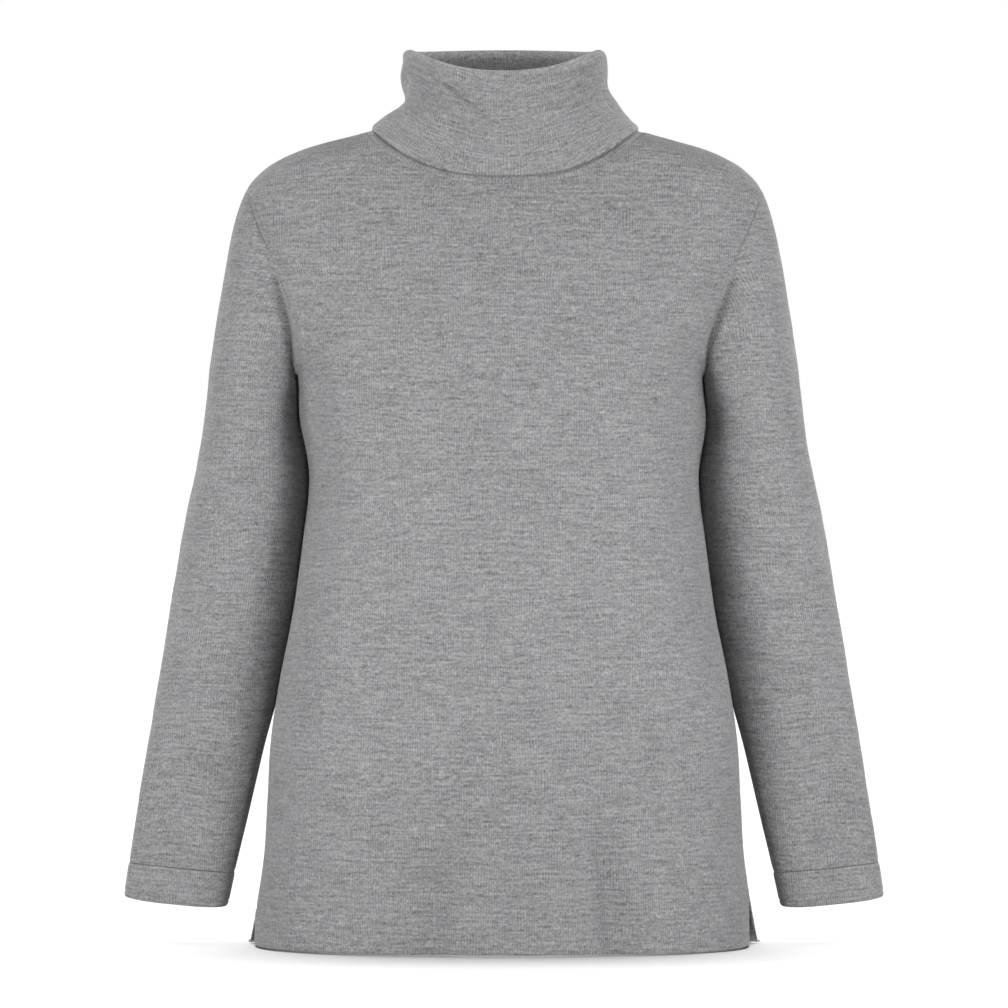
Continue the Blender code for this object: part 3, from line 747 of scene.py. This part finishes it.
def clearOfBody(placed):
    # beside the front's edge the sleeve falls back, and under the arm it lies in behind the body's side
    x, y, z = placed[..., 0], placed[..., 1], placed[..., 2]
    under = ease((body["armpit"] + sleeve["behindFrom"] - z) / sleeve["behindOver"])
    under = under * (1 - ease((sleeve["behindTo"] - z) / sleeve["behindEnd"]))
    tuck = sleeve["tuck"]
    beside = x - np.where(z > body["armpit"], armholeX(z), bodySide(z))
    along = ease((tuck["from"] - z) / tuck["over"]) * (1 - ease((tuck["to"] - z) / tuck["over"]))
    along = along * ease((armBack(z) - tuck["ahead"] - y) / tuck["aheadOver"])
    along = along * ease(runOf(placed, 0) / tuck["step"])
    y = y + tuck["depth"] * along * closeTo(beside, tuck["width"])
    x = x - sleeve["behind"] * under * closeTo(y - sleeve["behindAt"], sleeve["behindReach"])
    depth = np.where(y < 0, frontDepth(z), backDepth(z))
    edge = bodySide(z) * restAt(np.minimum(np.abs(y) / depth, 1))
    near = sleeve["clearance"] * ease((body["armpit"] - z) / sleeve["clearanceRun"]) + 2 * body["seamGap"]
    x = np.where(z > body["armpit"], x, np.maximum(x, edge + near))
    return np.stack([x, y, z], axis=-1)


def makeSleeve(side):
    mirror = 1 if side == "left" else -1
    angle = roundAngles(sleeve["columns"])
    cap = sleeveCap(angle, np.linspace(0, 1, sleeve["capRows"] + 1) ** sleeve["capSpacing"])
    heights = np.linspace(sleeve["capEnd"], sleeve["end"], sleeve["rows"] + 1)[1:]
    placed = clearOfBody(np.concatenate([cap, armRing(*np.meshgrid(angle, heights))]))
    z = placed[..., 2]
    last = sleeve["capRows"]
    u = roundFromMiddle(placed)
    u[:last] = u[last]
    down = runOf(placed, 0)
    up = down[-1:] - down
    v = down[last:last + 1] - down + z[last:last + 1]
    normal = gridNormals(placed, placed - armMiddle(z, z - sleeve["middleBelow"]))
    press = pressedBy(sleeve["creases"][side], u, v)
    press += wobble(u, v, sleeve["seed"][side], sleeve["uneven"], sleeve["longestWave"])
    press *= ease(down / sleeve["flatTop"]) * ease(up / sleeve["flatEnd"])
    press *= ease(fromSeam(placed) / sleeve["flatUnder"])
    press += body["seamDepth"] * closeTo(down, body["seamReach"])
    press += sleeve["endRoll"] * closeTo(up, sleeve["endRollReach"])
    placed = swayed((placed - normal * press[:, :, None]) * (mirror, 1, 1))
    cloth = np.stack([u, v], axis=2) * (mirror, 1) + sleeve["shift"][side]
    return layCloth("sleeveKnit_" + side, placed, cloth, sleeve, greyKnit, tube=True, turned=mirror < 0)


def makeCuff(side):
    mirror = 1 if side == "left" else -1
    heights = np.linspace(sleeve["end"] - cuff["gap"], sleeve["cuffEnd"], cuff["rows"] + 1)
    angle, z = np.meshgrid(roundAngles(sleeve["columns"]), heights)
    placed = armRing(angle, z, cuff["step"])
    toEnd = (sleeve["end"] - z) / (sleeve["end"] - sleeve["cuffEnd"])
    placed[..., 2] -= cuff["sag"] * toEnd * np.sin(angle) ** 2
    down = runOf(placed, 0)
    up = down[-1:] - down
    cloth = np.stack([roundFromMiddle(placed), -down], axis=2) * (mirror, 1) + cuff["shift"][side]
    normal = gridNormals(placed, placed - armMiddle(z, placed[..., 2]))
    press = cuff["lineDepth"] * closeTo(up - cuff["lineAt"], cuff["lineReach"])
    rolled = cuff["seamRoll"] * closeTo(down, cuff["rollReach"])
    press += rolled + cuff["tuckIn"] * closeTo(up, cuff["rollReach"])
    placed = (placed - normal * press[:, :, None]) * (mirror, 1, 1)
    return layCloth("cuffPaintedLightKnit_" + side, placed, cloth, cuff, cuffPaintedLightKnit, tube=True, turned=mirror < 0)


sleeves = {side: makeSleeve(side) for side in ("left", "right")}
cuffs = {side: makeCuff(side) for side in ("left", "right")}
print("sleeves and cuffs laid")


# collar, one tube from the neck seam up the stand, over the fold and down the fall

collar = {
    # half width, front and back depth, height at the sides, the front and the back
    "loops": [
        (0.0985, 0.0935, 0.0715, 0.011, -0.0285, 0.024), (0.084, 0.0825, 0.0655, 0.024, -0.008, 0.038),
        (0.0775, 0.0745, 0.0615, 0.045, 0.018, 0.055), (0.0768, 0.0698, 0.0598, 0.0655, 0.04, 0.0718),
        (0.079, 0.07, 0.062, 0.072, 0.048, 0.0772), (0.0828, 0.0732, 0.0655, 0.0734, 0.0508, 0.0783),
        (0.0866, 0.0775, 0.069, 0.0695, 0.0468, 0.0753), (0.088, 0.0825, 0.0725, 0.056, 0.029, 0.061),
        (0.0882, 0.088, 0.077, 0.0385, 0.008, 0.043), (0.097, 0.096, 0.085, 0.024, -0.014, 0.027),
    ],
    "roundness": 2.1, "base": 0.007, "gap": 0.0003, "sideLift": 2.2, "foldLoop": 5,
    "edgeInset": 0.0055, "edgeInsetBack": 0.0020,
    "edgeLiftSide": 0.0030, "edgeLiftFront": 0.0074, "edgeLiftBack": 0.0085,
    "edgeRoll": 0.0006, "rollAt": 0.0032, "rollReach": 0.0020, "edgeTurnIn": 0.0016, "turnInReach": 0.0016,
    # where the fall is pressed in or stands out: angle from the front, height, reaches, depth
    "dents": [
        (83, 0.031, 7, 0.012, 0.0165), (111, 0.029, 14, 0.016, -0.0095), (-88, 0.029, 22, 0.01, 0.008),
        (-74, 0.047, 8, 0.006, 0.005), (-90, 0.008, 18, 0.01, 0.0018), (-86, 0.066, 14, 0.01, 0.002),
        (-58, 0.03, 12, 0.016, 0.0025), (-140, 0.032, 18, 0.014, 0.003), (160, 0.036, 16, 0.014, 0.003),
    ],
    "frontCreases": [
        (-0.064, 0.048, -0.015, 0.011, 0.004, 0.006, 0.0042),
        (-0.072, 0.031, -0.043, 0.027, 0.0, 0.005, 0.0014),
        (-0.102, 0.007, -0.074, -0.001, 0.0, 0.0045, 0.0018),
        (-0.033, 0.053, 0.074, 0.059, -0.014, 0.0045, 0.0019),
        (0.03, 0.018, 0.08, 0.031, -0.003, 0.005, 0.0013),
        (-0.03, -0.012, 0.05, -0.01, -0.004, 0.005, 0.0006),
    ],
    "backCreases": [
        (-0.06, 0.06, 0.03, 0.045, -0.006, 0.005, 0.0014), (0.02, 0.035, 0.08, 0.048, 0.003, 0.005, 0.0014),
        (-0.08, 0.03, -0.02, 0.022, -0.003, 0.005, 0.0012),
    ],
    "columns": 168, "rows": 78, "wall": 0.0026, "rim": 0.0011, "shift": (16.3, 0.41), "seed": 31,
    "uneven": 0.0004, "longestWave": 0.06, "flatEdge": 0.012, "radius": 0.093, "dentRadius": 0.0885,
    # loops after the fold where the fall begins, and where front goes over into back
    "fallFrom": 2.3, "fallOver": 1.2, "frontTo": 0.02, "frontOver": 0.03,
}


def neckPoint(angle):
    x = body["neckHalf"] * np.sin(angle)
    isFront = np.cos(angle) >= 0
    return bodyPoint(isFront, x, np.where(isFront, neckZ("front", x), neckZ("back", x)))


def bodyNormal(isFront, point):
    step, power = 0.001, body["roundness"]

    def level(move):
        x, y, z = np.moveaxis(point + move, -1, 0)
        depth = np.where(isFront, frontDepth(z), backDepth(z))
        return (np.abs(x) / bodySide(z)) ** power + (np.abs(y) / depth) ** power

    normal = np.stack([level(move) - level(-move) for move in step * np.eye(3)], axis=-1)
    return normal / np.linalg.norm(normal, axis=-1, keepdims=True)


def collarBase(angle, inward, lift=0.0):
    seam, step = neckPoint(angle), 0.01
    along = neckPoint(angle + step) - neckPoint(angle - step)
    out = bodyNormal(np.cos(angle) >= 0, seam)
    toward = np.cross(along, out)
    toward /= np.linalg.norm(toward, axis=-1, keepdims=True)
    toward *= np.where(toward[:, 2:] < 0, -1, 1)
    return seam + out * (lift - collar["wall"] / 2) + toward * inward


def collarLoops(angle):
    rows = [collarBase(angle, collar["gap"]), collarBase(angle, collar["base"])]
    out, ahead = rounded(angle, collar["roundness"])
    isFront = np.cos(angle) >= 0
    for side, front, back, sideZ, frontZ, backZ in collar["loops"]:
        depth = np.where(isFront, front, back)
        z = mix(np.where(isFront, frontZ, backZ), sideZ, np.abs(out) ** collar["sideLift"])
        rows.append(np.stack([side * out, -depth * ahead, z], axis=-1))
    middle = np.cos(angle)[:, None] ** 2
    front = isFront[:, None]
    inset = np.where(front, collar["edgeInset"], mix(collar["edgeInset"], collar["edgeInsetBack"], middle))
    lift = np.where(front, collar["edgeLiftFront"], collar["edgeLiftBack"])
    lift = mix(collar["edgeLiftSide"], lift, np.abs(np.cos(angle))[:, None])
    rows.append(collarBase(angle, inset, lift))
    return np.array(rows)


def makeCollar():
    angle = roundAngles(collar["columns"])
    loops = collarLoops(angle)
    slopes = np.gradient(loops, axis=0)
    fine = np.linspace(0, len(loops) - 1, 1201)

    def between(at):
        i = np.clip(at.astype(int), 0, len(loops) - 2)
        return bowed((at - i)[:, None, None], loops[i], loops[i + 1], slopes[i], slopes[i + 1])

    run = runOf(between(fine), 0).mean(axis=1)
    at = np.interp(np.linspace(0, run[-1], collar["rows"] + 1), run, fine)
    placed = between(at)
    climbed = runOf(placed, 0)
    around = np.broadcast_to(angle * collar["radius"], climbed.shape)
    onFall = ease((at - collar["foldLoop"] - collar["fallFrom"]) / collar["fallOver"])[:, None]
    x, y, z = placed[..., 0], placed[..., 1], placed[..., 2]
    degrees = np.degrees(angle)[None, :]
    dent = np.zeros(x.shape)
    for middle, height, reach, tall, depth in collar["dents"]:
        turn = (degrees - middle + 180) % 360 - 180
        dent += depth * np.exp(-((turn / reach) ** 2) - ((z - height) / tall) ** 2)
    shrink = 1 - onFall * dent / collar["dentRadius"]
    placed = placed * np.stack([shrink, shrink, np.ones(x.shape)], axis=2)
    normal = gridNormals(placed, placed * (1, 1, 0))
    onFront = ease((collar["frontTo"] - y) / collar["frontOver"])
    press = onFront * pressedBy(collar["frontCreases"], x, z)
    press += (1 - onFront) * pressedBy(collar["backCreases"], x, z)
    press += wobble(around, climbed, collar["seed"], collar["uneven"], collar["longestWave"])
    fromEdge = climbed[-1:] - climbed
    press *= onFall * ease(fromEdge / collar["flatEdge"])
    press -= collar["edgeRoll"] * closeTo(fromEdge - collar["rollAt"], collar["rollReach"])
    press += collar["edgeTurnIn"] * closeTo(fromEdge, collar["turnInReach"]) * np.abs(np.sin(angle)) ** 6
    placed = placed - normal * press[:, :, None]
    cloth = np.stack([around, climbed], axis=2) + collar["shift"]
    return layCloth("collarKnit", placed, cloth, collar, greyKnit, offset=0, tube=True)


collarKnit = makeCollar()
print("collar laid")


# what each piece stands for: each is attached to the root, and the imported part of that name is hidden

everyPiece = {"front": frontKnit, "back": backKnit, "collar": collarKnit}
for side in ("left", "right"):
    everyPiece["sleeve_" + side] = sleeves[side]
    everyPiece["cuff_" + side] = cuffs[side]
for node, piece in everyPiece.items():
    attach(piece, "root")
    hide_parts(node)


# studio, with soft boxes for the cloth and suns for the floor

studio = {
    "floor": -0.6945, "floorSize": 60, "floorBehind": 18, "floorColour": (0.93, 0.93, 0.93, 1.0),
    "world": 0.05, "aim": -0.36, "brighterRight": 0.01,
    # pairs of soft boxes: degrees round from the front, distance, height, size, power, spread
    "pairs": {
        "main": (40, 2.6, -0.42, (0.6, 0.6), 2.35, 50), "tall": (30, 2.6, 0.10, (0.5, 1.5), 8.4, 180),
        "high": (40, 2.6, 0.50, (0.9, 0.9), 4.2, 180), "side": (85, 2.6, -0.10, (1.2, 1.2), 20.5, 180),
        "back": (142, 3.0, 0.20, (1.2, 1.4), 40.0, 180),
    },
    "top": {"place": (0.0, 0.2, 2.0), "size": (1.4, 0.8), "power": 13.5},
    "neck": {"place": (0.0, -0.06, 0.30), "size": (0.12, 0.04), "power": 0.25},
    # suns that light the floor alone: strength, angle, lean
    "floorSuns": {"wide": (0.8, 110, 0), "narrow": (3.1, 25, -9)},
    "camera": {"place": (0, -5, -0.3156), "lens": 207.6, "sensor": 36, "clip": 60},
}


def areaLight(name, place, size, power, spread=180):
    bpy.ops.object.light_add(type="AREA", location=place)
    light = bpy.context.object
    light.name = name
    light.data.shape = "RECTANGLE"
    light.data.size, light.data.size_y = size
    light.data.energy = power
    light.data.spread = math.radians(spread)
    light.visible_camera = False
    toAim = Vector((0, 0, studio["aim"])) - Vector(place)
    light.rotation_euler = toAim.to_track_quat("-Z", "Y").to_euler()
    light.select_set(False)
    return light


def collected(name, objects):
    made = bpy.data.collections.new(name)
    for each in objects:
        made.objects.link(each)
    return made


bpy.ops.mesh.primitive_plane_add(size=studio["floorSize"],
                                 location=(0, studio["floorBehind"], studio["floor"]))
floor = bpy.context.object
floor.name = "studioFloor"
bpy.ops.object.transform_apply(location=True)
floor.select_set(False)
floorPaint = bpy.data.materials.new("studioFloorPaint")
floorPaint.use_nodes = True
matt = {"Base Color": studio["floorColour"], "Roughness": 1.0, "Specular IOR Level": 0.0}
for key, value in matt.items():
    floorPaint.node_tree.nodes["Principled BSDF"].inputs[key].default_value = value
floor.data.materials.append(floorPaint)
floor.visible_diffuse = False
floor.visible_glossy = False

boxes = [areaLight("top", **studio["top"])]
for name, (bearing, away, height, size, power, spread) in studio["pairs"].items():
    around = math.radians(bearing)
    for side, turn in (("Left", -1), ("Right", 1)):
        place = (turn * away * math.sin(around), -away * math.cos(around), height)
        brighter = 1 + turn * studio["brighterRight"]
        boxes.append(areaLight(name + side, place, size, power * brighter, spread))
floorOnly = collected("litFloor", [floor])
clothOnly = collected("litCloth", everyPiece.values())
collarOnly = collected("litCollar", [collarKnit])
shading = collected("floorShade", [frontKnit, backKnit])
for light in boxes:
    light.light_linking.receiver_collection = clothOnly
areaLight("neck", **studio["neck"]).light_linking.receiver_collection = collarOnly
for name, (strength, angle, lean) in studio["floorSuns"].items():
    bpy.ops.object.light_add(type="SUN", location=(0, -1, 3), rotation=(math.radians(lean), 0, 0))
    sun = bpy.context.object
    sun.name = "floorSun_" + name
    sun.data.energy = strength
    sun.data.angle = math.radians(angle)
    sun.light_linking.receiver_collection = floorOnly
    sun.light_linking.blocker_collection = shading
    sun.select_set(False)

world = bpy.data.worlds.new("studioWorld")
bpy.context.scene.world = world
world.use_nodes = True
sky = world.node_tree
sky.nodes.clear()
white = (1, 1, 1, 1)
soft = addNode(sky, "ShaderNodeBackground", {"Color": white, "Strength": studio["world"]})
seen = addNode(sky, "ShaderNodeBackground", {"Color": white, "Strength": 1.0})
path = addNode(sky, "ShaderNodeLightPath")
choose = addNode(sky, "ShaderNodeMixShader")
out = addNode(sky, "ShaderNodeOutputWorld")
sky.links.new(path.outputs["Is Camera Ray"], choose.inputs[0])
sky.links.new(soft.outputs[0], choose.inputs[1])
sky.links.new(seen.outputs[0], choose.inputs[2])
sky.links.new(choose.outputs[0], out.inputs[0])

bpy.context.scene.view_settings.view_transform = "Standard"

seenFrom = studio["camera"]
bpy.ops.object.camera_add(location=seenFrom["place"], rotation=(math.radians(90), 0, 0))
camera = bpy.context.object
camera.name = "studioCamera"
camera.data.lens = seenFrom["lens"]
camera.data.sensor_width = seenFrom["sensor"]
camera.data.clip_end = seenFrom["clip"]
bpy.context.scene.camera = camera
camera.select_set(False)
print("studio ready")
